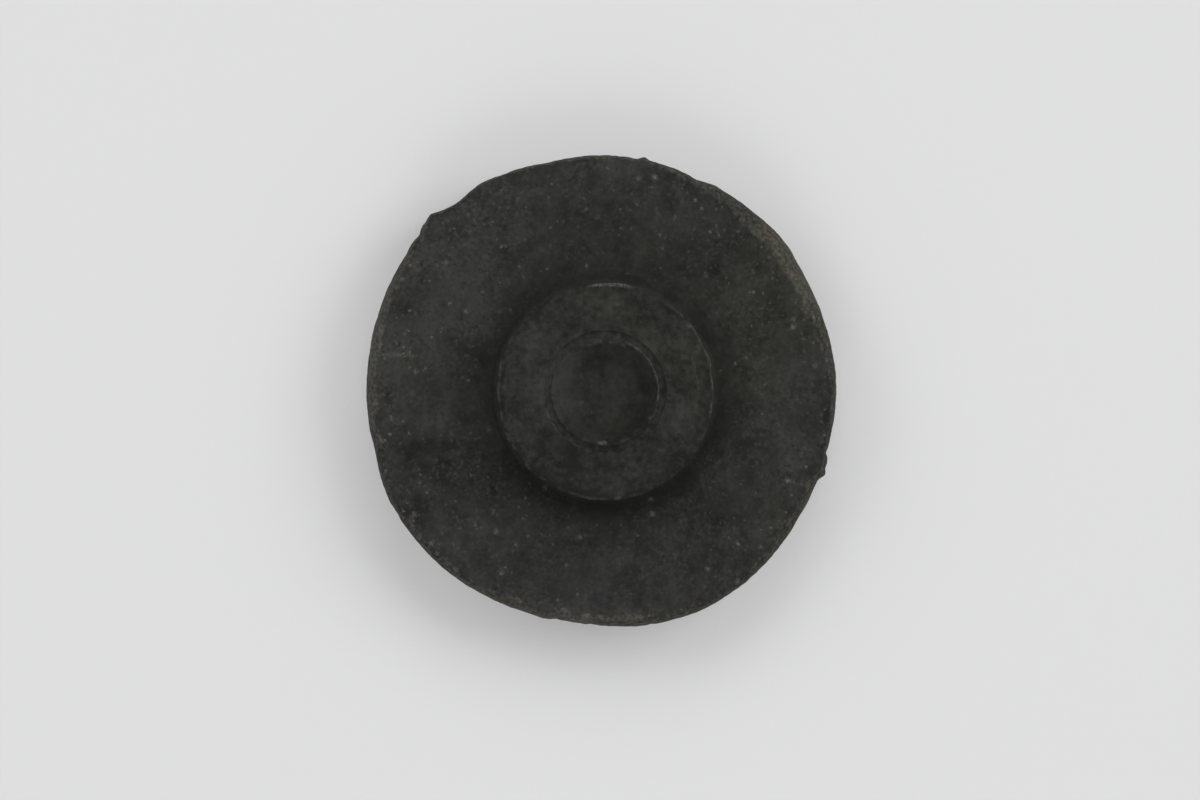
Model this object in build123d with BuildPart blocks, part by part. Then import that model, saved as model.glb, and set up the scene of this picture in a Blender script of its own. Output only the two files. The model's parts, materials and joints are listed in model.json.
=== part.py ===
"""A moulded rubber button bumper: a wide thin flange, trimmed by hand, with a short recessed boss.

Millimetres. The origin is on the resting face, on the boss's axis, and +Z runs up through the boss.
"""

import os
from math import cos, pi, radians, sin, tan
from typing import NamedTuple

from build123d import *

# Flange: a flat disc whose rim was trimmed with a blade.
flange_radius = 5.60
flange_thickness = 1.70
foot_edge_height = 0.12
foot_edge_inset = 0.08
shoulder_drop = 0.55
shoulder_bands = 3

# Boss: the short round plug in the middle of the flange.
boss_radius = 2.575
boss_height = 1.25
boss_edge_radius = 0.14
boss_root_radius = 0.12

# Recess: a shallow blind dish in the boss's end. Its floor sits a little off the boss's axis, so
# its wall is steeper on that side.
recess_radius = 1.25
recess_depth = 0.48
recess_draft = 43.0
recess_floor_fillet = 0.20
recess_shift = 0.12
recess_shift_turn = 280.0

# Groove: a fine moulded ring in the boss's end. A thin crest of crest_width is left between it and
# the recess's mouth.
crest_width = 0.04
groove_width = 0.13
groove_depth = 0.05


class RimStop(NamedTuple):
    """A place where the blade changed course: its angle in degrees from +X, how far the rim stands
    out past flange_radius there, and how far the rounded shoulder reaches in from the rim."""

    angle: float
    reach: float
    shoulder: float


rim_stops = [
    RimStop(0.0, -0.10, 0.16),
    RimStop(18.0, -0.13, 0.36),
    RimStop(30.0, -0.12, 0.44),
    RimStop(42.0, -0.03, 0.46),
    RimStop(52.0, -0.07, 0.40),
    RimStop(62.0, -0.05, 0.28),
    RimStop(66.5, -0.10, 0.20),
    RimStop(79.0, 0.00, 0.10),
    RimStop(80.5, 0.05, 0.10),
    RimStop(82.0, -0.01, 0.10),
    RimStop(90.0, 0.03, 0.12),
    RimStop(104.0, 0.02, 0.10),
    RimStop(121.5, 0.17, 0.08),
    RimStop(127.5, 0.11, 0.08),
    RimStop(131.5, 0.18, 0.08),
    RimStop(134.5, 0.33, 0.10),
    RimStop(140.5, 0.21, 0.14),
    RimStop(146.0, 0.16, 0.20),
    RimStop(163.0, 0.10, 0.26),
    RimStop(182.0, 0.09, 0.28),
    RimStop(194.0, 0.06, 0.26),
    RimStop(206.5, 0.16, 0.16),
    RimStop(227.0, 0.10, 0.14),
    RimStop(250.0, -0.01, 0.26),
    RimStop(254.5, 0.00, 0.26),
    RimStop(258.0, -0.05, 0.26),
    RimStop(266.0, -0.05, 0.26),
    RimStop(281.0, 0.05, 0.24),
    RimStop(293.0, 0.08, 0.18),
    RimStop(304.0, 0.05, 0.16),
    RimStop(328.0, -0.11, 0.26),
    RimStop(336.0, -0.13, 0.20),
    RimStop(338.0, -0.09, 0.18),
    RimStop(339.2, -0.01, 0.16),
    RimStop(343.0, -0.08, 0.14),
    RimStop(344.5, -0.15, 0.12),
]

# The blade ran straight over a stretch of fewer degrees than this, and round with the rim otherwise.
straight_stretch = 5.0


def turned_point(angle, radius):
    """The point at an angle in degrees and a distance from the boss's axis."""
    return (radius * cos(radians(angle)), radius * sin(radians(angle)))


def rim_outline(shoulder_share, inset):
    """The trimmed outline, drawn in by a share of the local shoulder and by a plain inset."""
    stops = []
    for stop in rim_stops:
        radius = flange_radius + stop.reach - stop.shoulder * shoulder_share - inset
        stops.append((stop.angle, radius))
    first_angle, first_radius = stops[0]
    stops.append((first_angle + 360, first_radius))
    with BuildLine() as outline:
        for (angle, radius), (next_angle, next_radius) in zip(stops, stops[1:]):
            start = turned_point(angle, radius)
            end = turned_point(next_angle, next_radius)
            if next_angle - angle < straight_stretch:
                Line(start, end)
            else:
                middle = turned_point((angle + next_angle) / 2, (radius + next_radius) / 2)
                ThreePointArc(start, middle, end)
    return outline.line


def whole_circles(part, height):
    """The part's edges that are whole circles at a height."""
    circles = part.edges().filter_by(GeomType.CIRCLE).filter_by_position(Axis.Z, height, height)
    return circles.filter_by(lambda edge: edge.is_closed)


with BuildPart() as rubber_bumper:
    # The flange: an edge break under it, an upright trimmed wall, then a shoulder of ruled
    # bands that follows a quarter ellipse in to the flat top.
    with BuildSketch(Plane.XY):
        make_face(rim_outline(0, foot_edge_inset))
    with BuildSketch(Plane.XY.offset(foot_edge_height)):
        make_face(rim_outline(0, 0))
    for band in range(shoulder_bands + 1):
        turn = pi / 2 * band / shoulder_bands
        level = flange_thickness - shoulder_drop * (1 - sin(turn))
        with BuildSketch(Plane.XY.offset(level)):
            make_face(rim_outline(1 - cos(turn), 0))
    loft(ruled=True)

    # The boss, with a fillet where it grows out of the flange and a rounded edge at its end.
    boss_end = flange_thickness + boss_height
    with BuildSketch(Plane.XY.offset(flange_thickness)):
        Circle(boss_radius)
    extrude(amount=boss_height)
    fillet(whole_circles(rubber_bumper, flange_thickness), boss_root_radius)
    fillet(whole_circles(rubber_bumper, boss_end), boss_edge_radius)

    # The recess: a round mouth that narrows to a shifted floor with a rounded corner.
    recess_floor = boss_end - recess_depth
    recess_floor_radius = recess_radius - recess_depth * tan(radians(recess_draft))
    with BuildSketch(Plane.XY.offset(boss_end)):
        Circle(recess_radius)
    with BuildSketch(Plane.XY.offset(recess_floor)):
        with Locations(turned_point(recess_shift_turn, recess_shift)):
            Circle(recess_floor_radius)
    loft(ruled=True, mode=Mode.SUBTRACT)
    fillet(whole_circles(rubber_bumper, recess_floor), recess_floor_fillet)

    # The groove: a shallow arc, turned round the boss's axis.
    groove_inner_radius = recess_radius + crest_width
    groove_inside = (groove_inner_radius, boss_end)
    groove_bottom = (groove_inner_radius + groove_width / 2, boss_end - groove_depth)
    groove_outside = (groove_inner_radius + groove_width, boss_end)
    with BuildSketch(Plane.XZ):
        with BuildLine():
            ThreePointArc(groove_inside, groove_bottom, groove_outside)
            Line(groove_outside, groove_inside)
        make_face()
    revolve(axis=Axis.Z, mode=Mode.SUBTRACT)

rubber_bumper.part.label = "rubber_bumper"

os.makedirs("parts", exist_ok=True)
export_step(rubber_bumper.part, "parts/rubber_bumper.step")
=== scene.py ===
import json
import math
from typing import NamedTuple

import bpy
import numpy as np
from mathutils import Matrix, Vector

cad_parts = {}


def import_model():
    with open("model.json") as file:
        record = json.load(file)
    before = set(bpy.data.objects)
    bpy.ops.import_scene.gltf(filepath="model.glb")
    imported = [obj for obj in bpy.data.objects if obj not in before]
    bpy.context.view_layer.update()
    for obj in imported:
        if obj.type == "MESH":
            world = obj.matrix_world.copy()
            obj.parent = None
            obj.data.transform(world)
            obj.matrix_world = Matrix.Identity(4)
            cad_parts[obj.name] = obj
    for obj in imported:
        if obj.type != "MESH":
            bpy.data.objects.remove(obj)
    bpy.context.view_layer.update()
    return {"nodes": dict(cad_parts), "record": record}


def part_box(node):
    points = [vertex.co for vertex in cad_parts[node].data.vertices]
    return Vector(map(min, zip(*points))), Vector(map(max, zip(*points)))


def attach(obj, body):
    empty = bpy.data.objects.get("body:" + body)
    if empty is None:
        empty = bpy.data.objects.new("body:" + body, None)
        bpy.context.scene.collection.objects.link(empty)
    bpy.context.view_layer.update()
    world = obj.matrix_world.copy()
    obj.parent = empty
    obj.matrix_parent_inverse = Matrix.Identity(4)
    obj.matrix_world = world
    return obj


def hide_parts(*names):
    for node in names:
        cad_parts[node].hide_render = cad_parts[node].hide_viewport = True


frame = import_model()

MM = 0.001
NODE = "rubber_bumper"

# ---------------------------------------------------------------- sizes

# The boss's wall is the mount; the flange's top lies below the fillet at its root.
boss_mount = next(mount for mount in frame["record"]["mounts"] if mount["name"] == "boss")
wall_middle = boss_mount["pos_m"][2] / MM
wall_length = boss_mount["dims"]["length_mm"]
boss_radius = boss_mount["dims"]["r_mm"]
boss_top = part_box(NODE)[1].z / MM
boss_edge = boss_top - (wall_middle + wall_length / 2)
boss_root = 0.12
flange_top = wall_middle - wall_length / 2 - boss_root
flange_radius = 5.60
shoulder_drop = 0.55
foot_edge = 0.12
foot_inset = 0.08

# The recess in the boss's end: its mouth, its floor a little off the axis, and the fine groove.
mouth_radius = 1.25
recess_depth = 0.48
floor_radius = 0.80
floor_corner = 0.20
floor_shift = 0.12
floor_turn = 280
crest_width = 0.04
groove_width = 0.13
groove_depth = 0.05

# Where the slope begins past the floor's rounded corner: how far out, and how far up.
corner_reach = 0.05
corner_rise = 0.06

# The recess's floor and the resting face each end in a small face in the middle.
middle_radius = 0.02
middle_share = 0.01

# How many points go round the boss, round the rim, and round the underside.
BOSS_SEGMENTS = 360
RIM_SEGMENTS = 720
UNDER_SEGMENTS = 180

# How many steps each run of the skin's profile has, from the recess out and round to the underside.
FLOOR_STEPS = 8
CORNER_STEPS = 4
SLOPE_STEPS = 14
CREST_STEPS = 2
GROOVE_STEPS = 8
END_STEPS = 30
EDGE_STEPS = 7
WALL_STEPS = 18
ROOT_STEPS = 6
FLANGE_STEPS = 51
SHOULDER_STEPS = 11
TRIM_STEPS = 12
FOOT_STEPS = 3
UNDER_STEPS = 11

# The underside's rings that pass from the rim's points to its own, as shares of the foot's outline.
under_borders = [(0.98, RIM_SEGMENTS // 2), (0.95, UNDER_SEGMENTS), (0.90, UNDER_SEGMENTS)]

# ---------------------------------------------------------------- small helpers


def smooth(value, low, high):
    """0 below low, 1 above high, and an even S between them."""
    share = np.clip((value - low) / (high - low), 0, 1)
    return share * share * (3 - 2 * share)


def bell(value, centre, width):
    """1 at centre, falling off evenly on both sides over about width."""
    return np.exp(-(((value - centre) / width) ** 2))


def turned(angle, radius):
    """The point at an angle and a distance from the boss's axis."""
    return np.array([radius * math.cos(math.radians(angle)), radius * math.sin(math.radians(angle))])


def angle_between(angle, other):
    """How far two angles are apart, from 0 to 180."""
    return np.abs((angle - other + 180) % 360 - 180)


class Side(NamedTuple):
    """A stretch of angles that fades out at both ends over fade degrees, and how strong it is."""

    first: float
    last: float
    fade: float
    strength: float


def by_side(angle, sides):
    """The strengths of all the sides that each angle lies on, added up."""
    total = np.zeros(len(angle))
    for side in sides:
        middle = (side.first + side.last) / 2
        half = (side.last - side.first) / 2
        off = angle_between(angle, middle)
        total += side.strength * (1 - smooth(off, half - side.fade / 2, half + side.fade / 2))
    return total


class Lumps(NamedTuple):
    """A layer of smooth random relief: its height, how wide its lumps are, and its seed."""

    height: float
    size: float
    seed: int


# Large odd numbers and bit shifts that scramble a lattice corner and a seed into a random value, and the
# largest that it can be.
CORNER_KEYS = np.array([73856093, 19349663, 83492791])
SEED_KEY = 2654435761
STIR_KEY = 1274126177
FIRST_SHIFT = 13
LAST_SHIFT = 16
TOP_VALUE = 0xFFFFFF


def lumpy(points, *layers):
    """Layers of random relief, added up."""
    total = np.zeros(len(points))
    for layer in layers:
        lattice = points / layer.size
        corner = np.floor(lattice).astype(np.int64)
        blend = smooth(lattice - corner, 0, 1)
        for step in np.ndindex(2, 2, 2):
            key = (corner + step) @ CORNER_KEYS + layer.seed * SEED_KEY
            key = (key ^ (key >> FIRST_SHIFT)) * STIR_KEY
            key = (key ^ (key >> LAST_SHIFT)) & TOP_VALUE
            weight = np.prod(np.where(step, blend, 1 - blend), axis=1)
            total += layer.height * weight * (2 * key / TOP_VALUE - 1)
    return total


# A vertex of the frame belongs to the rim's outline at a height when it is this near that height, and
# more than this many boss radii out.
SAME_HEIGHT = 0.002
RIM_BEYOND = 1.5


def rim_radius(angles, height):
    """The CAD rim's radius at each angle in radians, read from the frame's vertices at one height."""
    points = np.array([vertex.co for vertex in frame["nodes"][NODE].data.vertices]) / MM
    radius = np.hypot(points[:, 0], points[:, 1])
    on_rim = (np.abs(points[:, 2] - height) < SAME_HEIGHT) & (radius > RIM_BEYOND * boss_radius)
    turn = np.arctan2(points[on_rim, 1], points[on_rim, 0]) % (2 * np.pi)
    order = np.argsort(turn)
    return np.interp(angles, turn[order], radius[on_rim][order], period=2 * np.pi)


# ---------------------------------------------------------------- the rubber skin's rings


def turns(segments):
    """Evenly spaced angles in radians, once round."""
    return np.arange(segments) * 2 * np.pi / segments


def ring(segments, radius, height, centre=(0.0, 0.0)):
    """One closed ring of points. radius is one number, or one for each point."""
    x = centre[0] + radius * np.cos(turns(segments))
    y = centre[1] + radius * np.sin(turns(segments))
    return np.stack([x, y, np.full(segments, height)], -1)


def run(start, end, steps):
    """Profile points (radius, height) on a straight run, without its last one."""
    return [tuple(np.add(start, np.multiply(np.subtract(end, start), k / steps))) for k in range(steps)]


def bend(centre, across, up, start, end, steps):
    """Profile points on a bend about a centre, both ends included: a round one where across and up
    are the same, and part of an ellipse otherwise."""
    return [
        (centre[0] + across * math.cos(turn), centre[1] + up * math.sin(turn))
        for turn in np.radians(np.linspace(start, end, steps + 1))
    ]


def recess_rings():
    """From the middle of the recess's floor up to its mouth, the centre moving back onto the axis."""
    floor = boss_top - recess_depth
    flat_end = (floor_radius - floor_corner, floor)
    slope_start = (floor_radius + corner_reach, floor + corner_rise)
    profile = run((middle_radius, floor), flat_end, FLOOR_STEPS)
    profile += run(flat_end, slope_start, CORNER_STEPS)
    profile += run(slope_start, (mouth_radius, boss_top), SLOPE_STEPS)
    rings = []
    for radius, height in profile:
        down = (boss_top - height) / recess_depth
        rings.append(ring(BOSS_SEGMENTS, radius, height, turned(floor_turn, floor_shift * down)))
    return rings


def boss_rings():
    """From the recess's mouth over the groove, the end and the edge, down to the boss's root."""
    groove_inside = mouth_radius + crest_width
    groove_middle = (groove_inside + groove_width / 2, boss_top)
    groove_outside = (groove_inside + groove_width, boss_top)
    edge_centre = (boss_radius - boss_edge, boss_top - boss_edge)
    root_centre = (boss_radius + boss_root, flange_top + boss_root)
    profile = run((mouth_radius, boss_top), (groove_inside, boss_top), CREST_STEPS)
    profile += bend(groove_middle, groove_width / 2, groove_depth, 180, 360, GROOVE_STEPS)[:-1]
    profile += run(groove_outside, (edge_centre[0], boss_top), END_STEPS)
    profile += bend(edge_centre, boss_edge, boss_edge, 90, 0, EDGE_STEPS)[:-1]
    profile += run((boss_radius, edge_centre[1]), (boss_radius, root_centre[1]), WALL_STEPS)
    profile += bend(root_centre, boss_root, boss_root, 180, 270, ROOT_STEPS)
    return [ring(BOSS_SEGMENTS, radius, height) for radius, height in profile]


def flange_rings():
    """From the boss's root out over the flange, the trimmed shoulder and wall, to the foot."""
    angles = turns(RIM_SEGMENTS)
    shoulder_foot = flange_top - shoulder_drop
    wall = rim_radius(angles, shoulder_foot)
    top = rim_radius(angles, flange_top)
    start = boss_radius + boss_root
    rings = []
    for share in np.linspace(0, 1, FLANGE_STEPS + 1)[1:-1]:
        rings.append(ring(RIM_SEGMENTS, start + (top - start) * share, flange_top))
    for turn in np.radians(np.linspace(90, 0, SHOULDER_STEPS + 1)):
        height = shoulder_foot + shoulder_drop * math.sin(turn)
        rings.append(ring(RIM_SEGMENTS, top + (wall - top) * math.cos(turn), height))
    for height in np.linspace(shoulder_foot, foot_edge, TRIM_STEPS + 1)[1:]:
        rings.append(ring(RIM_SEGMENTS, wall, height))
    for turn in np.radians(np.linspace(0, 90, FOOT_STEPS + 1)[1:]):
        radius = wall - foot_inset * (1 - math.cos(turn))
        rings.append(ring(RIM_SEGMENTS, radius, foot_edge * (1 - math.sin(turn))))
    return rings


def underside_rings():
    """From the foot in to the middle of the resting face."""
    inner_shares = np.linspace(under_borders[-1][0], middle_share, UNDER_STEPS + 1)[1:]
    rings = []
    for share, segments in under_borders + [(share, UNDER_SEGMENTS) for share in inner_shares]:
        foot = rim_radius(turns(segments), foot_edge) - foot_inset
        rings.append(ring(segments, foot * share, 0.0))
    return rings


def band_faces(first, count, second, next_count):
    """The faces between two rings whose point counts are the same, or one double the other."""
    faces = []
    for k in range(max(count, next_count)):
        if count == next_count:
            after = (k + 1) % count
            faces.append((first + k, second + k, second + after, first + after))
        elif next_count == 2 * count:
            here, after = k // 2, (k // 2 + 1) % count
            outer, outer_after = k, (k + 1) % next_count
            faces.append((first + here, second + outer, second + outer_after))
            if k % 2:
                faces.append((first + here, second + outer_after, first + after))
        else:
            here, after = k // 2, (k // 2 + 1) % next_count
            faces.append((first + k, second + here, first + (k + 1) % count))
            if k % 2:
                faces.append((second + here, second + after, first + (k + 1) % count))
    return faces


def build_skin():
    """The whole skin on the CAD faces: one closed mesh, and its points in millimetres."""
    rings = recess_rings() + boss_rings() + flange_rings() + underside_rings()
    counts = [len(points) for points in rings]
    starts = np.concatenate([[0], np.cumsum(counts)]).tolist()
    faces = [tuple(range(counts[0]))]
    for k in range(len(rings) - 1):
        faces += band_faces(starts[k], counts[k], starts[k + 1], counts[k + 1])
    faces.append(tuple(reversed(range(starts[-2], starts[-1]))))
    mesh = bpy.data.meshes.new("moulded_rubber")
    mesh.from_pydata((np.concatenate(rings) * MM).tolist(), [], faces)
    mesh.shade_smooth()
    piece = bpy.data.objects.new("moulded_rubber", mesh)
    bpy.context.scene.collection.objects.link(piece)
    return piece, np.concatenate(rings)


# ---------------------------------------------------------------- relief of the moulded and cut faces

# The border between the moulded top and the cut rim: how ragged it is, and how far inside and outside
# the flat top's edge it fades. Below it the wall is cut everywhere, down to the foot. Nothing is cut
# within CUT_MARGIN of the boss.
BORDER_LUMPS = (Lumps(0.11, 0.36, 21), Lumps(0.07, 0.14, 22))
BORDER_FADE = (-0.04, 0.07)
WALL_FADE = (0.25, 0.50)
FOOT_FADE = (0.0, 0.06)
CUT_MARGIN = 0.5

# How far the moulded skin, the cut faces, the boss's pebbles, its worn edge and the flange's waves
# lie below the CAD faces, and the random relief of each. The worn edge reaches WORN_REACH in from the
# corner, the waves begin WAVE_MARGIN out from the boss, and no relief is less than LEAST_DEPTH.
SKIN_DEPTH = 0.012
SKIN_LUMPS = (Lumps(0.005, 0.45, 1), Lumps(0.004, 0.20, 2), Lumps(0.003, 0.11, 3))
CUT_DEPTH = 0.012
CUT_LUMPS = (Lumps(0.010, 0.24, 5), Lumps(0.008, 0.12, 6))
PEBBLE_DEPTH = 0.014
PEBBLE_LUMPS = (Lumps(0.30, 0.34, 11), Lumps(0.825, 0.16, 12), Lumps(0.675, 0.10, 13))
WORN_DEPTH = 0.006
WORN_LUMPS = (Lumps(0.022, 0.36, 9), Lumps(0.014, 0.15, 10))
WORN_REACH = 0.20
WAVE_DEPTH = 0.012
WAVE_LUMPS = (Lumps(0.012, 2.3, 4),)
WAVE_MARGIN = 0.3
LEAST_DEPTH = 0.001

# The boss's own look begins this far up its wall, and its pebbles stop short of its edge.
BOSS_FADE = (0.5, 0.7)
PEBBLE_MARGIN = 0.05

# The strokes of the blade in the cut wall: long thin lumps that climb a little as they go round.
STROKE_LENGTH = 0.9
STROKE_WIDTH = 0.075
STROKE_CLIMB = 0.35
STROKE_LUMPS = (Lumps(0.009, 1.0, 7),)


class MouldLine(NamedTuple):
    """A fine moulded line on the boss, with a painted highlight along it in places: its distance from the
    axis, first and last angle, width, how far it rises, how pale its painted highlight is, and how far it
    is broken up."""

    radius: float
    first: float
    last: float
    width: float
    rise: float
    paleness: float
    breaks: float


# A line's paleness is a painted highlight where it catches the light.
mould_lines = [
    MouldLine(2.535, 77, 99, 0.038, 0.014, 0.80, 0.3),
    MouldLine(2.545, -14, 40, 0.030, 0.010, 0.42, 0.5),
    MouldLine(2.545, 40, 58, 0.032, 0.010, 0.22, 0.9),
    MouldLine(2.475, -60, -24, 0.030, 0.006, 0.12, 0.8),
    MouldLine(2.540, 150, 290, 0.030, 0.008, 0.30, 1.0),
    MouldLine(2.470, 160, 200, 0.030, -0.034, 0.00, 0.4),
    MouldLine(2.180, -38, 44, 0.034, 0.014, 0.16, 0.8),
    MouldLine(2.360, 148, 218, 0.034, 0.012, 0.14, 0.8),
    MouldLine(1.840, 38, 76, 0.030, 0.014, 0.16, 0.8),
    MouldLine(1.550, -24, 18, 0.030, 0.010, 0.14, 0.8),
    MouldLine(1.245, -10, 68, 0.032, 0.008, 0.55, 0.2),
    MouldLine(1.440, 196, 258, 0.028, 0.010, 0.24, 0.6),
    MouldLine(1.160, 64, 112, 0.045, 0.020, 0.30, 0.9),
]

# The degrees over which a line fades in, how it wanders, how it is broken up, and the heights below
# the boss's top over which it fades out.
LINE_FADE = 8
LINE_WANDER = (Lumps(0.014, 0.40, 14),)
LINE_BREAKS = (Lumps(1.0, 0.15, 8),)
LINE_BREAK_FADE = (0.25, -0.35)
LINE_TOP_FADE = (-0.25, -0.15)


class Nick(NamedTuple):
    """A small nick that the blade left in the rim: its angle, its width in degrees and its depth. A
    negative depth is a burr that stands out."""

    angle: float
    width: float
    depth: float


nicks = [
    Nick(67.5, 0.8, 0.012),
    Nick(83.0, 0.6, 0.012),
    Nick(129.0, 1.3, 0.030),
    Nick(136.8, 0.6, 0.020),
    Nick(140.0, 0.8, 0.034),
    Nick(142.4, 0.9, -0.016),
    Nick(145.6, 1.6, 0.016),
    Nick(210.5, 1.2, 0.018),
    Nick(257.5, 1.0, 0.014),
    Nick(281.0, 0.9, 0.012),
    Nick(337.2, 0.5, 0.020),
    Nick(341.0, 0.6, 0.016),
    Nick(343.5, 0.4, -0.016),
]

# The low ring on the flange close round the boss, clearest on the left: how high it is, how far out from
# the boss, how wide, how strong everywhere, and the heights above the flange over which it fades out.
RIDGE_HEIGHT = 0.03
RIDGE_OUT = 0.125
RIDGE_WIDTH = 0.035
RIDGE_LEAST = 0.3
RIDGE_TOP_FADE = (0.03, 0.06)
ridge_sides = [Side(140, 215, 30, 0.7)]


def cut_share(points, radius, angle):
    """1 on the faces that the blade left, 0 on the moulded ones, with a ragged border between."""
    past_border = radius - rim_radius(np.radians(angle), flange_top)
    border = smooth(past_border + lumpy(points, *BORDER_LUMPS), *BORDER_FADE)
    wall = smooth(flange_top - points[:, 2], *WALL_FADE)
    on_flange = radius > boss_radius + CUT_MARGIN
    return np.maximum(border, wall) * on_flange * smooth(points[:, 2], *FOOT_FADE)


def boss_bumps(points):
    """The pebbly surface of the boss's end, from -1 to 1."""
    return np.clip(lumpy(points, *PEBBLE_LUMPS), -1, 1)


def above_flange(points):
    """0 on the flange and low on the boss's wall, 1 further up."""
    return smooth(points[:, 2] - flange_top, *BOSS_FADE)


def blade_strokes(points, angle):
    """The relief of the blade's strokes in the cut wall."""
    arc = np.radians(angle) * flange_radius
    across = (points[:, 2] + STROKE_CLIMB * arc) / STROKE_WIDTH
    return lumpy(np.stack([arc / STROKE_LENGTH, across, np.zeros(len(arc))], -1), *STROKE_LUMPS)


def relief(points, radius, angle, cut):
    """How far the relief lies below the CAD face at each point, which is always a little."""
    pebbly = above_flange(points) * (radius < boss_radius - PEBBLE_MARGIN)
    worn = smooth(radius, boss_radius - WORN_REACH, boss_radius - PEBBLE_MARGIN)
    worn = worn * smooth(points[:, 2], flange_top + WORN_REACH, boss_top - WORN_REACH)
    flat = (1 - cut) * (radius > boss_radius + WAVE_MARGIN)
    torn = lumpy(points, *CUT_LUMPS) + blade_strokes(points, angle)
    depth = SKIN_DEPTH + lumpy(points, *SKIN_LUMPS)
    depth += cut * (CUT_DEPTH + torn)
    depth += pebbly * PEBBLE_DEPTH * (1 + boss_bumps(points))
    depth += worn * (WORN_DEPTH + lumpy(points, *WORN_LUMPS))
    depth += flat * (WAVE_DEPTH + lumpy(points, *WAVE_LUMPS))
    for nick in nicks:
        depth += cut * nick.depth * bell(angle_between(angle, nick.angle), 0, nick.width)
    return np.maximum(depth, LEAST_DEPTH)


def line_shape(points, radius, angle, line):
    """How strongly each point lies on one of the boss's lines, which wanders and breaks off a little."""
    above = smooth(points[:, 2] - boss_top, *LINE_TOP_FADE)
    along = by_side(angle, [Side(line.first, line.last, LINE_FADE, 1.0)])
    unbroken = 1 - line.breaks * smooth(lumpy(points, *LINE_BREAKS), *LINE_BREAK_FADE)
    return above * along * unbroken * bell(radius, line.radius + lumpy(points, *LINE_WANDER), line.width)


def flange_ridge(points, radius, angle):
    """How far the low ring on the flange stands up at each point."""
    on_flange = 1 - smooth(points[:, 2] - flange_top, *RIDGE_TOP_FADE)
    strength = RIDGE_LEAST + by_side(angle, ridge_sides)
    return on_flange * RIDGE_HEIGHT * strength * bell(radius, boss_radius + RIDGE_OUT, RIDGE_WIDTH)


# ---------------------------------------------------------------- tones, painted light and shade, dust and where they lie


class Place(NamedTuple):
    """A spot on the upper side: its angle, distance from the axis, width and strength."""

    angle: float
    radius: float
    width: float
    strength: float


# Paler and, below zero, darker places on the flange, on the boss's end and in the recess. Those on the
# boss's end near the groove by the mouth are painted light over the groove's shade, and those in the recess
# are painted light and shade on its walls and floor.
pale_on_flange = [
    Place(0, 4.00, 0.62, 0.30),
    Place(6, 5.33, 0.14, 0.60),
    Place(20, 4.60, 0.45, 0.14),
    Place(35, 3.90, 0.35, 0.20),
    Place(64, 5.30, 0.25, 0.30),
    Place(70, 5.05, 0.20, 0.42),
    Place(82, 5.20, 0.30, 0.20),
    Place(89, 5.35, 0.24, 0.80),
    Place(110, 5.10, 0.40, 0.16),
    Place(118, 4.15, 0.30, 0.16),
    Place(130, 4.90, 0.45, 0.36),
    Place(142, 4.50, 0.80, 0.44),
    Place(150, 3.60, 0.50, 0.46),
    Place(165, 4.50, 0.70, 0.42),
    Place(173, 5.10, 0.45, 0.40),
    Place(187, 5.00, 0.40, 0.22),
    Place(188, 4.00, 0.40, 0.36),
    Place(207, 4.85, 0.22, 0.34),
    Place(222, 5.20, 0.45, 0.14),
    Place(228, 4.40, 0.45, 0.20),
    Place(236, 3.90, 0.35, 0.14),
    Place(252, 5.40, 0.28, 0.40),
    Place(265, 5.40, 0.50, 0.36),
    Place(270, 4.60, 0.55, 0.12),
    Place(292, 3.60, 0.22, 0.34),
    Place(318, 5.20, 0.40, 0.28),
    Place(333, 5.10, 0.35, 0.30),
    Place(339, 4.70, 0.22, 0.34),
    Place(345, 4.50, 0.30, 0.42),
]
dark_on_flange = [
    Place(16, 4.92, 0.10, -0.40),
    Place(19, 5.10, 0.25, -0.26),
    Place(20, 4.62, 0.09, -0.60),
    Place(23, 4.60, 0.08, -0.40),
    Place(50, 3.80, 0.60, -0.20),
    Place(52, 4.90, 0.40, -0.12),
    Place(88, 4.20, 0.80, -0.18),
    Place(152, 3.85, 0.18, -0.34),
    Place(157, 5.25, 0.22, -0.50),
    Place(173, 5.30, 0.10, -0.40),
    Place(196, 4.70, 0.16, -0.34),
    Place(199, 5.00, 0.28, -0.30),
    Place(205, 4.40, 0.55, -0.42),
    Place(213, 5.20, 0.30, -0.30),
    Place(222, 3.40, 0.50, -0.12),
    Place(270, 5.10, 0.60, -0.10),
    Place(300, 4.50, 0.85, -0.20),
    Place(315, 4.40, 0.50, -0.16),
    Place(352, 4.90, 0.32, -0.26),
]
tones_and_painted_light_on_boss = [
    Place(5, 1.60, 0.18, -0.18),
    Place(25, 1.80, 0.15, -0.30),
    Place(30, 2.10, 0.28, 0.28),
    Place(41, 1.43, 0.12, 0.30),
    Place(50, 1.65, 0.24, 0.34),
    Place(65, 2.20, 0.26, -0.24),
    Place(80, 1.40, 0.14, 0.20),
    Place(88, 2.00, 0.22, 0.36),
    Place(118, 1.75, 0.20, -0.38),
    Place(120, 1.42, 0.16, 0.34),
    Place(145, 2.05, 0.28, 0.40),
    Place(149, 2.42, 0.10, 0.34),
    Place(156, 1.91, 0.10, 0.34),
    Place(180, 1.55, 0.25, 0.26),
    Place(186, 2.35, 0.22, -0.28),
    Place(190, 1.54, 0.10, 0.34),
    Place(200, 1.95, 0.18, -0.20),
    Place(213, 2.05, 0.15, 0.34),
    Place(220, 2.29, 0.12, 0.34),
    Place(235, 2.14, 0.10, 0.26),
    Place(241, 1.80, 0.30, -0.36),
    Place(275, 2.30, 0.24, 0.40),
    Place(290, 1.95, 0.25, 0.14),
    Place(301, 1.43, 0.12, 0.28),
    Place(314, 2.30, 0.24, -0.30),
    Place(338, 1.85, 0.30, 0.46),
    Place(350, 2.05, 0.25, 0.26),
]
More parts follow.
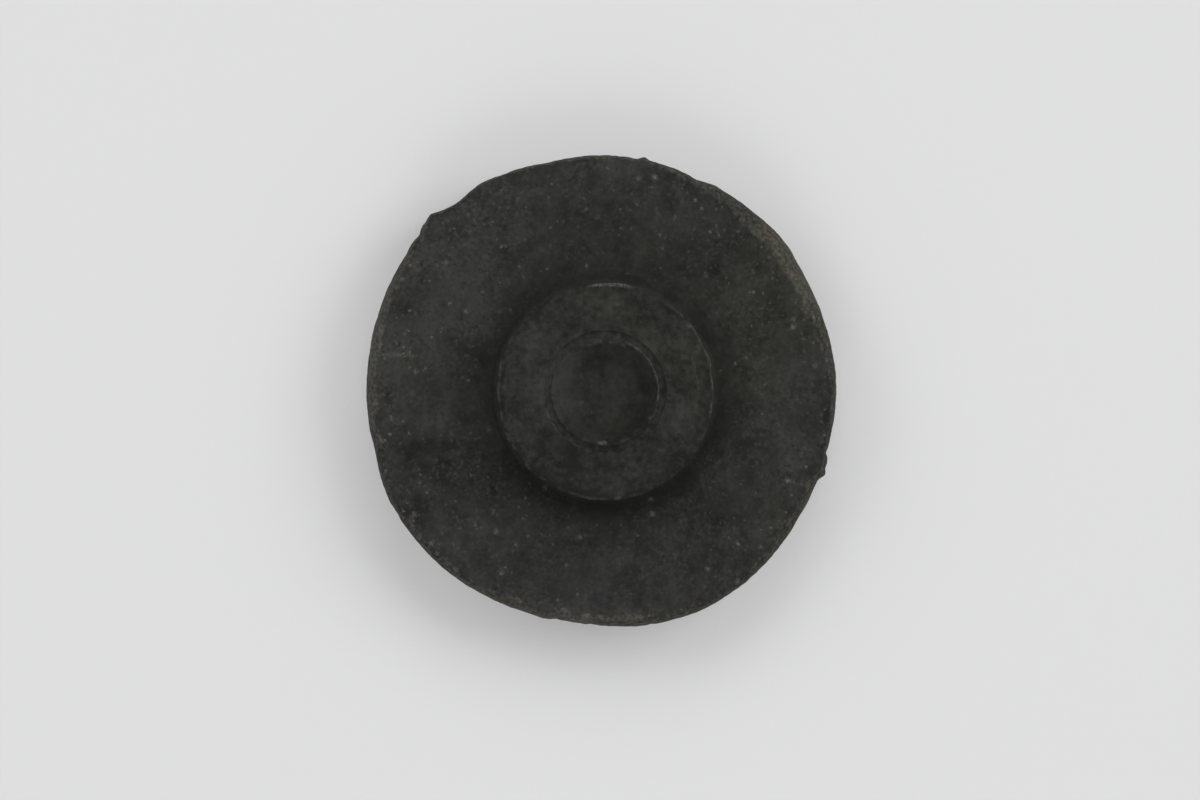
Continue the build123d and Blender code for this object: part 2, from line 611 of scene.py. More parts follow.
painted_light_and_shade_in_recess = [
    Place(10, 0.95, 0.28, -0.34),
    Place(20, 0.74, 0.22, 0.22),
    Place(45, 0.95, 0.24, -0.24),
    Place(52, 0.84, 0.20, 0.20),
    Place(66, 0.36, 0.26, 0.32),
    Place(81, 1.17, 0.14, 0.34),
    Place(96, 0.42, 0.25, -0.30),
    Place(100, 0.85, 0.22, -0.20),
    Place(140, 1.08, 0.26, 0.26),
    Place(160, 1.20, 0.30, 0.55),
    Place(190, 1.22, 0.14, -0.28),
    Place(196, 1.20, 0.22, 0.20),
    Place(200, 0.64, 0.16, 0.36),
    Place(200, 0.92, 0.14, 0.16),
    Place(220, 0.95, 0.18, 0.22),
    Place(260, 0.72, 0.14, 0.24),
    Place(274, 0.66, 0.20, 0.16),
    Place(281, 1.24, 0.14, -0.26),
    Place(288, 1.05, 0.22, -0.26),
    Place(330, 0.95, 0.26, -0.28),
    Place(330, 0.42, 0.22, 0.20),
]

# Where the rubber leans towards olive and, below zero, towards grey.
casts = [
    Place(10, 3.60, 0.90, 0.70),
    Place(18, 2.00, 0.80, 0.90),
    Place(30, 4.60, 1.30, 0.90),
    Place(50, 3.10, 0.60, 0.60),
    Place(68, 1.90, 0.60, 0.90),
    Place(75, 3.40, 0.50, 0.50),
    Place(80, 5.00, 0.50, -0.70),
    Place(95, 2.40, 0.50, 0.90),
    Place(150, 3.20, 0.40, -0.80),
    Place(165, 5.70, 0.90, -0.60),
    Place(195, 5.70, 1.00, -1.00),
    Place(222, 5.60, 1.00, -1.00),
    Place(245, 5.60, 0.80, -0.80),
    Place(268, 5.10, 1.10, -1.00),
    Place(285, 0.70, 0.40, 1.00),
    Place(320, 5.20, 0.60, 0.50),
]


class Fleck(NamedTuple):
    """A large fleck of pale dust: its angle, its distance from the axis and how pale it is."""

    angle: float
    radius: float
    paleness: float


FLECK_WIDTH = 0.060
flecks = [
    Fleck(5, 5.36, 0.6),
    Fleck(7, 5.00, 0.6),
    Fleck(8, 5.30, 0.5),
    Fleck(19, 4.70, 0.8),
    Fleck(21, 4.76, 0.5),
    Fleck(32, 5.25, 0.7),
    Fleck(38, 2.52, 0.6),
    Fleck(49, 3.63, 0.5),
    Fleck(77, 5.20, 0.9),
    Fleck(81, 5.10, 0.6),
    Fleck(82, 2.07, 0.3),
    Fleck(141, 4.85, 0.6),
    Fleck(147, 5.50, 0.7),
    Fleck(150, 3.80, 0.7),
    Fleck(151, 5.50, 0.6),
    Fleck(157, 5.54, 0.5),
    Fleck(174, 4.50, 0.6),
    Fleck(192, 5.47, 0.7),
    Fleck(198, 2.89, 0.4),
    Fleck(205, 0.65, 0.4),
    Fleck(213, 5.40, 0.7),
    Fleck(221, 5.45, 0.9),
    Fleck(223, 2.55, 0.4),
    Fleck(230, 5.51, 0.7),
    Fleck(232, 4.20, 0.7),
    Fleck(238, 2.70, 0.5),
    Fleck(240, 5.47, 0.6),
    Fleck(260, 3.50, 0.7),
    Fleck(265, 1.19, 0.9),
    Fleck(269, 1.17, 0.7),
    Fleck(290, 1.19, 0.3),
    Fleck(291, 3.10, 1.0),
    Fleck(293, 2.77, 0.5),
    Fleck(300, 4.85, 0.7),
    Fleck(305, 5.48, 0.8),
    Fleck(315, 5.20, 0.5),
    Fleck(324, 5.37, 0.5),
    Fleck(330, 1.22, 0.5),
    Fleck(334, 4.80, 0.9),
    Fleck(349, 2.55, 0.5),
]


class Scratch(NamedTuple):
    """A straight pale scratch on the flange: where it starts and ends, its width and how pale it is."""

    start: tuple
    end: tuple
    width: float
    paleness: float


scratches = [Scratch((-5.28, 0.88), (-4.50, 0.84), 0.045, 0.34)]

# The painted shade in a ring on the flange round the boss, deeper from the lower left round to the right:
# how far out its middle is, how wide it is and how dark.
PAINTED_SHADE_RING_OUT = 0.18
PAINTED_SHADE_RING_WIDTH = 0.32
PAINTED_SHADE_RING_DEPTH = 0.26
painted_shade_ring_sides = [Side(215, 350, 40, 0.22), Side(262, 320, 30, 0.12)]

# Whole faces, and the band along the boss's edge, that are paler or darker, and the sides of them that
# differ further, partly painted light and shade.
BOSS_TONE = -0.12
# The pebbles are paler where they rise and darker in their hollows: painted light and shade.
PEBBLE_PAINTED_SHADING = -0.20
PEBBLE_PAINTED_SHADING_IN_RECESS = 0.55
# Painted shade darkens the recess's floor.
FLOOR_PAINTED_SHADE = -0.10
RIM_FADE = (5.0, 5.35)
SLOPE_FADE = (0.7, 0.95)
EDGE_TONE = -0.14
EDGE_FADE = (2.28, 2.50)
# The boss's end is darker on the right, and painted shade darkens it on the lower left.
boss_end_tones_and_painted_shade = [Side(-60, 70, 40, -0.10), Side(210, 295, 25, -0.21)]
# Along the boss's edge, painted shade darkens the upper left and the lower left.
painted_shade_on_edge = [Side(215, 285, 25, -0.14), Side(95, 150, 20, -0.18)]
# On the recess's slope, painted light makes the left paler and painted shade makes the lower side darker.
painted_light_and_shade_on_slope = [Side(215, 330, 30, -0.14), Side(132, 205, 30, 0.38)]
# Along the rim, painted light makes the left and the lower side paler, and painted shade makes the right
# and the upper right darker.
painted_light_and_shade_on_rim = [
    Side(140, 190, 16, 0.20),
    Side(232, 285, 16, 0.26),
    Side(-42, 12, 14, -0.20),
    Side(50, 72, 10, -0.30),
]
# On the cut faces, painted highlights make the upper right and the left paler.
painted_highlights_on_cut = [Side(20, 50, 20, 0.60), Side(150, 188, 12, 0.30)]

# How dusty the boss is, how much dustier the flange and its rim are, and the sides that differ. The
# underside, which nothing has settled on, is the same all over.
DUSTY_BOSS = 0.35
DUSTY_FLANGE = 0.75
DUSTY_RIM = 0.25
DUSTY_UNDER = 0.6
FLANGE_DUST_REACH = 0.8
RIM_DUST_FADE = (4.4, 5.3)
dusty_sides = [Side(232, 300, 40, -0.22), Side(65, 115, 30, -0.15), Side(130, 225, 40, 0.08)]

# How strongly the fine pebbles' painted light and shade shows everywhere, how much more it does on the
# boss, and how much less of that in the recess, which begins to be smoother over a short way inside its
# mouth.
PEBBLY_ALL = 0.2
PEBBLY_BOSS = 0.8
RECESS_SMOOTHER = 0.6
RECESS_FADE = 0.15

# Heights count for only this share in how far a point is from a place, and the boss's faces end this
# far outside or inside their radii.
UPWARD_SHARE = 0.6
FACE_MARGIN = 0.01


def above_foot(points):
    """0 on the underside, 1 above the edge break at the foot."""
    return smooth(points[:, 2], 0.0, foot_edge)


def place_distance(points, angle, radius):
    """How far points lie from a place on the upper side."""
    if radius > boss_radius:
        height = flange_top
    elif radius > mouth_radius:
        height = boss_top
    else:
        height = boss_top - recess_depth * min(1, (mouth_radius - radius) / (mouth_radius - floor_radius))
    off = points - np.array([*turned(angle, radius), height])
    return np.linalg.norm(off * [1, 1, UPWARD_SHARE], axis=1)


def spots(points, places):
    """The strengths of all the places that each point lies on, added up."""
    total = np.zeros(len(points))
    for place in places:
        total += place.strength * bell(place_distance(points, place.angle, place.radius), 0, place.width)
    return total


def scratch_distance(points, scratch):
    """How far points lie from a scratch on the flange's top."""
    start = np.array([*scratch.start, flange_top])
    along = np.array([*scratch.end, flange_top]) - start
    share = np.clip((points - start) @ along / (along @ along), 0, 1)
    return np.linalg.norm(points - start - share[:, None] * along, axis=1)


def tones_with_painted_shading(points, radius, angle, cut):
    """How much paler each point is than plain rubber, or darker below zero, painted light and shade
    included.
    """
    upper = above_foot(points)
    off_boss = radius > boss_radius + FACE_MARGIN
    boss_end = ~off_boss * above_flange(points)
    in_recess = radius < mouth_radius
    slope = (radius < mouth_radius - FACE_MARGIN) * smooth(radius, *SLOPE_FADE) * upper
    pebbles = PEBBLE_PAINTED_SHADING * boss_bumps(points) * np.where(in_recess, PEBBLE_PAINTED_SHADING_IN_RECESS, 1)
    # Painted shade in a ring on the flange round the boss.
    painted_shade_ring = (PAINTED_SHADE_RING_DEPTH + by_side(angle, painted_shade_ring_sides)) * bell(radius, boss_radius + PAINTED_SHADE_RING_OUT, PAINTED_SHADE_RING_WIDTH)
    # Painted shade on the recess's floor.
    tone = upper * (~off_boss * BOSS_TONE - off_boss * painted_shade_ring + (radius < floor_radius) * FLOOR_PAINTED_SHADE)
    # Painted light and shade on the pebbles, and painted shade on the lower left of the boss's end.
    tone += boss_end * (pebbles + ~in_recess * by_side(angle, boss_end_tones_and_painted_shade))
    # Painted shade on the boss's edge, on the upper left and the lower left.
    tone += boss_end * smooth(radius, *EDGE_FADE) * (EDGE_TONE + by_side(angle, painted_shade_on_edge))
    # Painted light and shade on the recess's slope.
    tone += slope * by_side(angle, painted_light_and_shade_on_slope)
    # Painted light and shade along the rim.
    tone += upper * smooth(radius, *RIM_FADE) * by_side(angle, painted_light_and_shade_on_rim)
    # Painted highlights on the cut faces.
    tone += cut * by_side(angle, painted_highlights_on_cut)
    # Placed tones, with painted light on the boss's end and painted light and shade in the recess.
    tone += upper * spots(points, pale_on_flange + dark_on_flange + tones_and_painted_light_on_boss + painted_light_and_shade_in_recess)
    return tone


def dust_and_line_highlights(points, paleness):
    """The painted highlights along the boss's lines, the scratches and the flecks of dust, whichever is
    palest at each point.
    """
    upper = above_foot(points)
    dust = paleness
    for fleck in flecks:
        near = bell(place_distance(points, fleck.angle, fleck.radius), 0, FLECK_WIDTH)
        dust = np.maximum(dust, fleck.paleness * upper * near)
    for scratch in scratches:
        near = bell(scratch_distance(points, scratch), 0, scratch.width)
        dust = np.maximum(dust, scratch.paleness * near)
    return dust


def dustiness(points, radius, angle):
    """How thickly the fine dust lies at each point."""
    upper = above_foot(points)
    dusty = DUSTY_BOSS + DUSTY_FLANGE * smooth(radius, boss_radius, boss_radius + FLANGE_DUST_REACH)
    dusty += DUSTY_RIM * smooth(radius, *RIM_DUST_FADE)
    dusty *= 1 + by_side(angle, dusty_sides)
    return DUSTY_UNDER + (dusty - DUSTY_UNDER) * upper


def pebble_shading_reach(points, radius):
    """How strongly the painted light and shade of the boss's fine pebbles shows at each point."""
    upper = above_foot(points)
    on_boss = radius <= boss_radius + FACE_MARGIN
    in_recess = smooth(mouth_radius - radius, 0.0, RECESS_FADE)
    return PEBBLY_ALL + PEBBLY_BOSS * on_boss * (1 - RECESS_SMOOTHER * in_recess) * upper


def finish_skin(skin, points):
    """Moves the skin's points in to the relief, and gives each its tones, painted light and shade included,
    for the material.
    """
    mesh = skin.data
    normals = np.zeros(points.size)
    mesh.vertices.foreach_get("normal", normals)
    radius = np.hypot(points[:, 0], points[:, 1])
    angle = np.degrees(np.arctan2(points[:, 1], points[:, 0])) % 360
    cut = cut_share(points, radius, angle)
    offset = flange_ridge(points, radius, angle) - relief(points, radius, angle, cut)
    # The lines' paleness is a painted highlight.
    paleness = np.zeros(len(points))
    for line in mould_lines:
        shape = line_shape(points, radius, angle, line)
        offset += line.rise * shape
        paleness = np.maximum(paleness, line.paleness * shape)
    shaped = points + normals.reshape(-1, 3) * offset[:, None]
    shaped[:, 2] = np.clip(shaped[:, 2], LEAST_DEPTH, boss_top - LEAST_DEPTH)
    mesh.vertices.foreach_set("co", (shaped * MM).reshape(-1))
    mesh.update()

    attributes = {
        "cut": cut,
        "tone": tones_with_painted_shading(points, radius, angle, cut),
        "cast": spots(points, casts),
        "dust": dust_and_line_highlights(points, paleness),
        "dusty": dustiness(points, radius, angle),
        "pebbly": pebble_shading_reach(points, radius),
    }
    for name, values in attributes.items():
        attribute = mesh.attributes.new(name, "FLOAT", "POINT")
        attribute.data.foreach_set("value", values.astype(np.float32))


# ---------------------------------------------------------------- rubber


class Spread(NamedTuple):
    """What lies from low to high becomes to_low to to_high, and what lies outside is held there."""

    low: float
    high: float
    to_low: float
    to_high: float


class Pattern(NamedTuple):
    """Soft random lumps in the material: how wide they are, how much finer noise they carry, a shift
    that sets one pattern apart from the next, what they are spread to, and how far they are pressed
    flat, so that they lie along the rim."""

    size: float
    detail: float
    shift: float
    spread: Spread = Spread(0, 1, 0, 1)
    flatten: float = 1.0


class Dots(NamedTuple):
    """Small round spots scattered through the material: how far apart they are, their radius, a shift
    that sets them apart, and how pale they are."""

    spacing: float
    radius: float
    shift: float
    paleness: float


# Moulded skin: a mottled near-black that leans to olive in places and to grey in others. The mottle
# is livelier where the skin is dustier.
SKIN_DARK = (0.0108, 0.0108, 0.0100)
SKIN_DARK_OLIVE = (0.0109, 0.0113, 0.0088)
SKIN_DARK_GREY = (0.0108, 0.0108, 0.0108)
SKIN_LIGHT = (0.0360, 0.0360, 0.0335)
SKIN_LIGHT_OLIVE = (0.0360, 0.0372, 0.0296)
SKIN_LIGHT_GREY = (0.0360, 0.0360, 0.0358)
MIDDLE_TONE = 0.50
BROAD_MOTTLE = Pattern(0.62, 3, 1.3, Spread(0.0, 1.0, -0.52, 0.52))
SOFT_MOTTLE = Pattern(0.26, 1, 4.1, Spread(0.30, 0.70, -0.20, 0.20))
LIVELY = Spread(0.35, 1.0, 0.46, 1.0)
PEBBLES = Pattern(0.115, 1, 4.7)
# The pebbles' painted light and shade in the material, paler where they rise.
PEBBLE_PAINTED_LIGHT_AND_SHADE = Spread(0.36, 0.70, -0.18, 0.40)
CAST_DRIFT = Pattern(1.2, 1, 7.7, Spread(0.4, 0.6, -0.2, 0.2))
TO_OLIVE = Spread(0, 1, 0, 1)
TO_GREY = Spread(0, -1, 0, 1)

# Fine grain on the moulded skin, in pale and dark specks, thicker in some places than in others.
GRAIN_PALE = (0.055, 0.055, 0.049)
GRAIN_DARK = (0.007, 0.007, 0.006)
GRAIN = Pattern(0.085, 2, 2.2)
PALE_SPECKS = Spread(0.52, 0.74, 0.0, 0.50)
DARK_SPECKS = Spread(0.48, 0.26, 0.0, 0.58)
GRAIN_PLACES = Pattern(0.7, 2, 3.4, Spread(0.40, 0.62, 0.45, 1.15))

# Cut rubber: olive-brown and dark grains, drawn out a little along the blade's way.
CUT_DARK = (0.0180, 0.0175, 0.0150)
CUT_OLIVE = (0.070, 0.071, 0.054)
CUT_BROWN = (0.078, 0.067, 0.054)
CUT_GREY = (0.086, 0.085, 0.076)
CUT_GRAINS = Pattern(0.085, 3, 5.5, Spread(0.38, 0.62, 0.0, 1.0))
CUT_GRAIN_SHARE = 0.66
CUT_DRAWN = Pattern(0.42, 3, 6.1, Spread(0.36, 0.64, 0.0, 1.0), flatten=7)
CUT_DRAWN_SHARE = 0.26
# The tones, painted highlights included, make the cut faces darker or paler by this much.
CUT_BRIGHTNESS = Spread(0, 1, -0.16, 0.44)
CUT_WARMTH = Pattern(0.50, 2, 9.1, Spread(0.44, 0.62, 0.0, 1.0))
CUT_BORDER = Spread(0.1, 0.8, 0.0, 1.0)

# Pale dust: a fine scatter, sparser larger grains, and the grains that have a place; the boss's lines take
# the dust's colour too, as painted highlights.
DUST = (0.150, 0.149, 0.128)
DUST_PLACES = Pattern(0.45, 3, 0.6, Spread(0.42, 0.58, 0.16, 1.0))
FINE_DUST = Dots(0.135, 0.048, 3.0, 0.62)
COARSE_DUST = Dots(0.20, 0.062, 8.0, 0.80)
CRUMBLED = Pattern(0.045, 1, 1.9, Spread(0.42, 0.56, 0.40, 1.0))
DUST_COVER = Spread(0.04, 0.95, 0.0, 0.85)

# A dot's middle is even, its outline is shaken by lumps of about its own size, and some are faint.
DOT_MIDDLE = 0.3
DOT_SHAKE_SIZE = 0.8
DOT_SHAKE_REACH = 1.4
DOT_CHANCE = Spread(0.1, 1.0, 0.24, 0.90)

# Sheen and the finest bumps.
ROUGHNESS = Pattern(0.35, 3, 6.6, Spread(0.3, 0.7, 0.74, 0.92))
SPECULAR_LEVEL = 0.12
FINE_BUMPS = Pattern(0.07, 2, 2.9)
DUST_BUMP = 0.6
BUMP_HEIGHT = 0.010


class Layers:
    """Short ways to add and join the nodes of one material."""

    def __init__(self, material):
        self.nodes = material.node_tree.nodes
        self.links = material.node_tree.links
        self.place = self.nodes.new("ShaderNodeTexCoord").outputs["Object"]

    def pattern(self, pattern):
        """A pattern's value at each place."""
        place = self.nodes.new("ShaderNodeMapping")
        place.inputs["Scale"].default_value = (1, 1, pattern.flatten)
        self.links.new(self.place, place.inputs["Vector"])
        node = self.nodes.new("ShaderNodeTexNoise")
        node.noise_dimensions = "4D"
        node.inputs["W"].default_value = pattern.shift
        node.inputs["Scale"].default_value = 1 / (pattern.size * MM)
        node.inputs["Detail"].default_value = pattern.detail
        self.links.new(place.outputs["Vector"], node.inputs["Vector"])
        return self.spread(node.outputs["Fac"], pattern.spread)

    def shaken(self, size, reach):
        """The place, pushed about by up to half of reach in lumps of one size."""
        noise = self.nodes.new("ShaderNodeTexNoise")
        noise.inputs["Scale"].default_value = 1 / (size * MM)
        noise.inputs["Detail"].default_value = 0
        self.links.new(self.place, noise.inputs["Vector"])
        push = self.nodes.new("ShaderNodeVectorMath")
        push.operation = "MULTIPLY_ADD"
        self.links.new(noise.outputs["Color"], push.inputs[0])
        push.inputs[1].default_value = (reach * MM,) * 3
        self.links.new(self.place, push.inputs[2])
        return push.outputs["Vector"]

    def dots(self, dots):
        """How pale scattered dots make each place."""
        node = self.nodes.new("ShaderNodeTexVoronoi")
        node.voronoi_dimensions = "4D"
        node.inputs["W"].default_value = dots.shift
        node.inputs["Scale"].default_value = 1 / (dots.spacing * MM)
        place = self.shaken(DOT_SHAKE_SIZE * dots.radius, DOT_SHAKE_REACH * dots.radius)
        self.links.new(place, node.inputs["Vector"])
        chance = self.nodes.new("ShaderNodeSeparateColor")
        self.links.new(node.outputs["Color"], chance.inputs["Color"])
        edge = dots.radius / dots.spacing
        spot = self.spread(node.outputs["Distance"], Spread(DOT_MIDDLE * edge, edge, 1, 0))
        spot = self.times(spot, self.spread(chance.outputs["Red"], DOT_CHANCE))
        return self.times(spot, dots.paleness)

    def attribute(self, name):
        """One of the values that the mesh carries at its points."""
        node = self.nodes.new("ShaderNodeAttribute")
        node.attribute_name = name
        return node.outputs["Fac"]

    def spread(self, value, spread):
        """A value, spread to another range."""
        node = self.nodes.new("ShaderNodeMapRange")
        self.links.new(value, node.inputs["Value"])
        for name, number in zip(("From Min", "From Max", "To Min", "To Max"), spread):
            node.inputs[name].default_value = number
        return node.outputs["Result"]

    def join(self, operation, first, second):
        """Two values, or a value and a number, joined by a sum, a product or another operation."""
        node = self.nodes.new("ShaderNodeMath")
        node.operation = operation
        for socket, value in zip(node.inputs, (first, second)):
            if isinstance(value, (int, float)):
                socket.default_value = value
            else:
                self.links.new(value, socket)
        return node.outputs["Value"]

    def plus(self, first, second):
        return self.join("ADD", first, second)

    def times(self, first, second):
        return self.join("MULTIPLY", first, second)

    def larger(self, first, second):
        return self.join("MAXIMUM", first, second)

    def mix(self, share, first, second):
        """The first colour where share is 0, the second where it is 1."""
        node = self.nodes.new("ShaderNodeMix")
        node.data_type = "RGBA"
        self.links.new(share, node.inputs["Factor"])
        for name, value in (("A", first), ("B", second)):
            socket = next(socket for socket in node.inputs if socket.name == name and socket.type == "RGBA")
            if isinstance(value, tuple):
                socket.default_value = (*value, 1)
            else:
                self.links.new(value, socket)
        return next(socket for socket in node.outputs if socket.type == "RGBA")


def moulded_colour(layers, pebbles, to_olive, to_grey):
    """The moulded skin's colour: mottle, the pebbles' painted light and shade, and tones with painted light
    and shade in them, with pale and dark specks on them.
    """
    dusty = layers.attribute("dusty")
    mottle = layers.plus(layers.pattern(BROAD_MOTTLE), layers.pattern(SOFT_MOTTLE))
    mottle = layers.times(mottle, layers.spread(dusty, LIVELY))
    # Painted light and shade on the pebbles, paler where they rise.
    pebble_painted_shading = layers.times(layers.spread(pebbles, PEBBLE_PAINTED_LIGHT_AND_SHADE), layers.attribute("pebbly"))
    mottle = layers.plus(mottle, pebble_painted_shading)
    mottle = layers.plus(mottle, layers.plus(layers.attribute("tone"), MIDDLE_TONE))
    dark = layers.mix(to_grey, layers.mix(to_olive, SKIN_DARK, SKIN_DARK_OLIVE), SKIN_DARK_GREY)
    light = layers.mix(to_grey, layers.mix(to_olive, SKIN_LIGHT, SKIN_LIGHT_OLIVE), SKIN_LIGHT_GREY)
    colour = layers.mix(mottle, dark, light)
    grain = layers.pattern(GRAIN)
    grainy = layers.times(layers.pattern(GRAIN_PLACES), dusty)
    colour = layers.mix(layers.times(layers.spread(grain, PALE_SPECKS), grainy), colour, GRAIN_PALE)
    return layers.mix(layers.times(layers.spread(grain, DARK_SPECKS), grainy), colour, GRAIN_DARK)


def cut_colour(layers, to_grey):
    """The colour of the faces that the blade left."""
    grains = layers.times(layers.pattern(CUT_GRAINS), CUT_GRAIN_SHARE)
    drawn = layers.times(layers.pattern(CUT_DRAWN), CUT_DRAWN_SHARE)
    # The tones bring the painted highlights on the cut faces.
    brightness = layers.spread(layers.attribute("tone"), CUT_BRIGHTNESS)
    light = layers.mix(layers.pattern(CUT_WARMTH), CUT_OLIVE, CUT_BROWN)
    light = layers.mix(to_grey, light, CUT_GREY)
    return layers.mix(layers.plus(layers.plus(grains, drawn), brightness), CUT_DARK, light)


def scattered_dust(layers):
    """How far the scatter of pale dust covers each place."""
    dusty = layers.times(layers.pattern(DUST_PLACES), layers.attribute("dusty"))
    return layers.times(layers.larger(layers.dots(FINE_DUST), layers.dots(COARSE_DUST)), dusty)


def rubber_material():
    """Black rubber: moulded, cut and dusty, with painted light and shade, each where the skin's attributes
    say.
    """
    material = bpy.data.materials.new("moulded_rubber")
    material.use_nodes = True
    layers = Layers(material)
    shader = layers.nodes["Principled BSDF"]
    pebbles = layers.pattern(PEBBLES)
    cast = layers.plus(layers.attribute("cast"), layers.pattern(CAST_DRIFT))
    to_olive = layers.spread(cast, TO_OLIVE)
    to_grey = layers.spread(cast, TO_GREY)
    moulded = moulded_colour(layers, pebbles, to_olive, to_grey)
    cut = layers.spread(layers.attribute("cut"), CUT_BORDER)
    colour = layers.mix(cut, moulded, cut_colour(layers, to_grey))
    # Placed dust, with the painted highlights along the boss's lines.
    placed_dust_and_highlights = layers.times(layers.attribute("dust"), layers.pattern(CRUMBLED))
    dust = layers.larger(scattered_dust(layers), placed_dust_and_highlights)
    colour = layers.mix(layers.spread(dust, DUST_COVER), colour, DUST)
    layers.links.new(colour, shader.inputs["Base Color"])
    layers.links.new(layers.pattern(ROUGHNESS), shader.inputs["Roughness"])
    shader.inputs["Specular IOR Level"].default_value = SPECULAR_LEVEL

    height = layers.plus(layers.pattern(FINE_BUMPS), layers.times(placed_dust_and_highlights, DUST_BUMP))
    height = layers.plus(height, pebbles)
    bump = layers.nodes.new("ShaderNodeBump")
    bump.inputs["Strength"].default_value = 1.0
    bump.inputs["Distance"].default_value = BUMP_HEIGHT * MM
    layers.links.new(height, bump.inputs["Height"])
    layers.links.new(bump.outputs["Normal"], shader.inputs["Normal"])
    return material


skin, skin_points = build_skin()
finish_skin(skin, skin_points)
skin.data.materials.append(rubber_material())
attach(skin, "root")
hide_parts(NODE)

# ---------------------------------------------------------------- paper, light and camera

PAPER = (0.735, 0.735, 0.74, 1)
PAPER_HALF = 400

# What the camera sees of the paper is, by this share, an even glow at the backdrop's brightness: painted
# light that fills in this share of the bumper's shadow.
PAPER_GLOW = 0.30

# The sky lights the bumper evenly from the sides and is dark overhead, where the camera hangs. It is
# open up to one elevation and dark from the other. The backdrop is what is seen of it.
WHITE = (1, 1, 1, 1)
SKY_LEVEL = 0.36
SKY_OVERHEAD = 0.03
SKY_OPEN_TO = 35
SKY_DARK_FROM = 65
BACKDROP_LEVEL = 0.74


class SoftBox(NamedTuple):
    """A square soft box aimed at the bumper: where it stands in the ring of them, and what it adds to
    a white sheet's brightness."""

    azimuth: float
    share: float


SOFT_BOX_ELEVATION = 39
SOFT_BOX_DISTANCE = 1000
SOFT_BOX_SIZE = 630
soft_boxes = [
    SoftBox(25, 0.29),
    SoftBox(85, 0.21),
    SoftBox(145, 0.15),
    SoftBox(205, 0.05),
    SoftBox(265, 0.15),
    SoftBox(325, 0.05),
]

# The camera looks straight down, a touch down and left of the boss's axis.
CAMERA_HEIGHT = 230
CAMERA_PLACE = (-0.126, -0.201)
VIEW_WIDTH = 28.60
SENSOR_WIDTH = 36
CLIP_START = 10
CLIP_END = 10000


def seen_directly(nodes, links):
    """1 for what the camera sees, by itself or in a gloss or through something clear."""
    path = nodes.new("ShaderNodeLightPath")
    seen = path.outputs["Is Camera Ray"]
    for name in ("Is Glossy Ray", "Is Transmission Ray"):
        either = nodes.new("ShaderNodeMath")
        either.operation = "MAXIMUM"
        links.new(seen, either.inputs[0])
        links.new(path.outputs[name], either.inputs[1])
        seen = either.outputs["Value"]
    return seen


def paper():
    """The sheet that the bumper lies on."""
    half = PAPER_HALF * MM
    corners = [(-half, -half, 0), (half, -half, 0), (half, half, 0), (-half, half, 0)]
    sheet_mesh = bpy.data.meshes.new("paper")
    sheet_mesh.from_pydata(corners, [], [(0, 1, 2, 3)])
    sheet = bpy.data.objects.new("paper", sheet_mesh)
    bpy.context.scene.collection.objects.link(sheet)
    material = bpy.data.materials.new("paper")
    material.use_nodes = True
    nodes, links = material.node_tree.nodes, material.node_tree.links
    shader = nodes["Principled BSDF"]
    shader.inputs["Base Color"].default_value = PAPER
    shader.inputs["Roughness"].default_value = 1.0
    shader.inputs["Specular IOR Level"].default_value = 0.0
    glow = nodes.new("ShaderNodeEmission")
    glow.inputs["Color"].default_value = WHITE
    glow.inputs["Strength"].default_value = BACKDROP_LEVEL
    share = nodes.new("ShaderNodeMath")
    share.operation = "MULTIPLY"
    share.inputs[1].default_value = PAPER_GLOW
    choice = nodes.new("ShaderNodeMixShader")
    links.new(seen_directly(nodes, links), share.inputs[0])
    links.new(share.outputs["Value"], choice.inputs["Fac"])
    links.new(shader.outputs["BSDF"], choice.inputs[1])
    links.new(glow.outputs["Emission"], choice.inputs[2])
    links.new(choice.outputs["Shader"], nodes["Material Output"].inputs["Surface"])
    sheet_mesh.materials.append(material)


def sky_light(nodes, links):
    """The light from all round, which fades out overhead."""
    place = nodes.new("ShaderNodeTexCoord")
    split = nodes.new("ShaderNodeSeparateXYZ")
    fade = nodes.new("ShaderNodeMapRange")
    fade.interpolation_type = "SMOOTHSTEP"
    fade.inputs["From Min"].default_value = math.sin(math.radians(SKY_OPEN_TO))
    fade.inputs["From Max"].default_value = math.sin(math.radians(SKY_DARK_FROM))
    fade.inputs["To Min"].default_value = SKY_LEVEL
    fade.inputs["To Max"].default_value = SKY_OVERHEAD
    links.new(place.outputs["Generated"], split.inputs["Vector"])
    links.new(split.outputs["Z"], fade.inputs["Value"])
    sky = nodes["Background"]
    sky.inputs["Color"].default_value = WHITE
    links.new(fade.outputs["Result"], sky.inputs["Strength"])
    return sky.outputs["Background"]


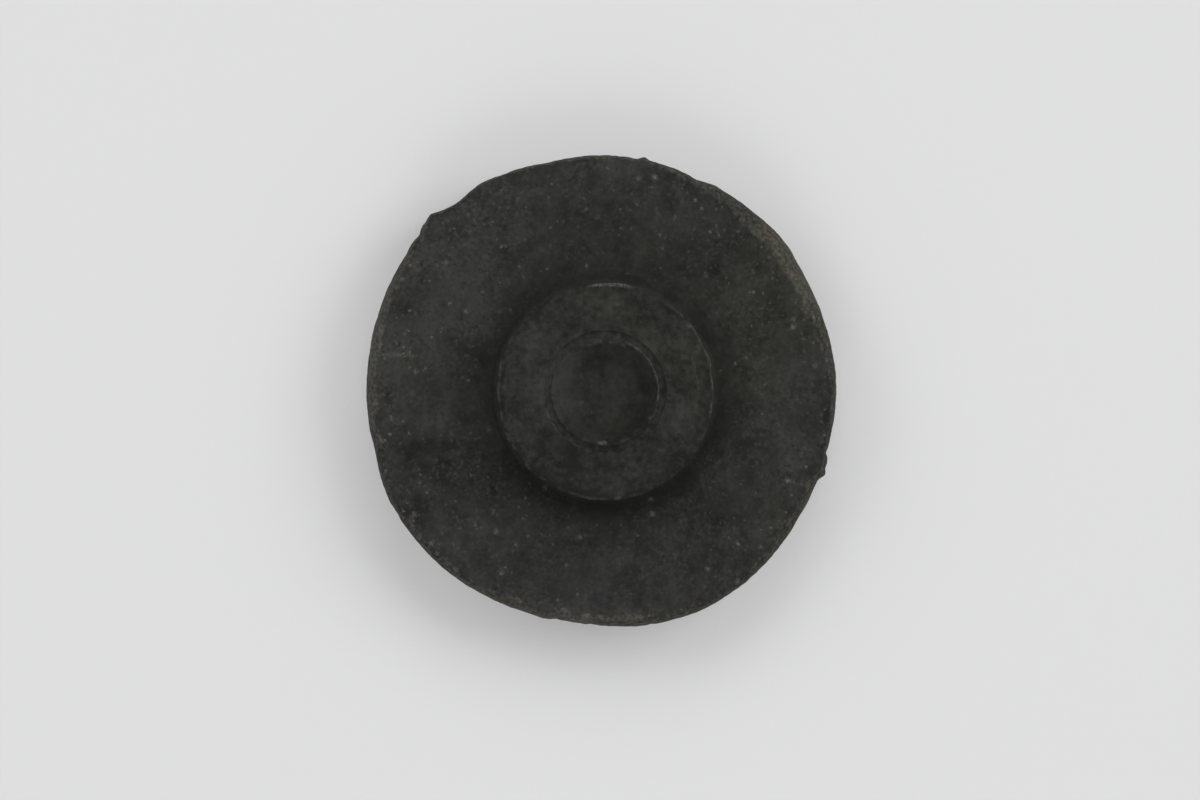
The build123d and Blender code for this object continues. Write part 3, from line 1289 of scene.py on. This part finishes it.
def world():
    """A pale studio that lights the bumper as the sky and looks the same all over."""
    studio = bpy.data.worlds.new("studio")
    bpy.context.scene.world = studio
    studio.use_nodes = True
    nodes, links = studio.node_tree.nodes, studio.node_tree.links
    backdrop = nodes.new("ShaderNodeBackground")
    backdrop.inputs["Color"].default_value = WHITE
    backdrop.inputs["Strength"].default_value = BACKDROP_LEVEL
    choice = nodes.new("ShaderNodeMixShader")
    links.new(seen_directly(nodes, links), choice.inputs["Fac"])
    links.new(sky_light(nodes, links), choice.inputs[1])
    links.new(backdrop.outputs["Background"], choice.inputs[2])
    links.new(choice.outputs["Shader"], nodes["World Output"].inputs["Surface"])


def soft_box(box):
    """A square area light whose power gives its share of brightness on a flat white sheet."""
    turn, rise = math.radians(box.azimuth), math.radians(SOFT_BOX_ELEVATION)
    distance = SOFT_BOX_DISTANCE * MM
    data = bpy.data.lights.new("soft_box", "AREA")
    data.shape = "SQUARE"
    data.size = SOFT_BOX_SIZE * MM
    data.energy = box.share / math.sin(rise) * math.pi ** 2 * distance ** 2
    light = bpy.data.objects.new("soft_box", data)
    light.location = (
        distance * math.cos(rise) * math.cos(turn),
        distance * math.cos(rise) * math.sin(turn),
        distance * math.sin(rise),
    )
    light.rotation_euler = (-light.location).to_track_quat("-Z", "Y").to_euler()
    bpy.context.scene.collection.objects.link(light)


def camera():
    """The camera over the bumper, whose picture is VIEW_WIDTH wide on the paper."""
    data = bpy.data.cameras.new("camera")
    data.sensor_width = SENSOR_WIDTH
    data.lens = SENSOR_WIDTH * CAMERA_HEIGHT / VIEW_WIDTH
    data.clip_start = CLIP_START * MM
    data.clip_end = CLIP_END * MM
    eye = bpy.data.objects.new("camera", data)
    eye.location = (CAMERA_PLACE[0] * MM, CAMERA_PLACE[1] * MM, CAMERA_HEIGHT * MM)
    bpy.context.scene.collection.objects.link(eye)
    bpy.context.scene.camera = eye


bpy.context.scene.view_settings.view_transform = "Standard"
paper()
world()
for box in soft_boxes:
    soft_box(box)
camera()
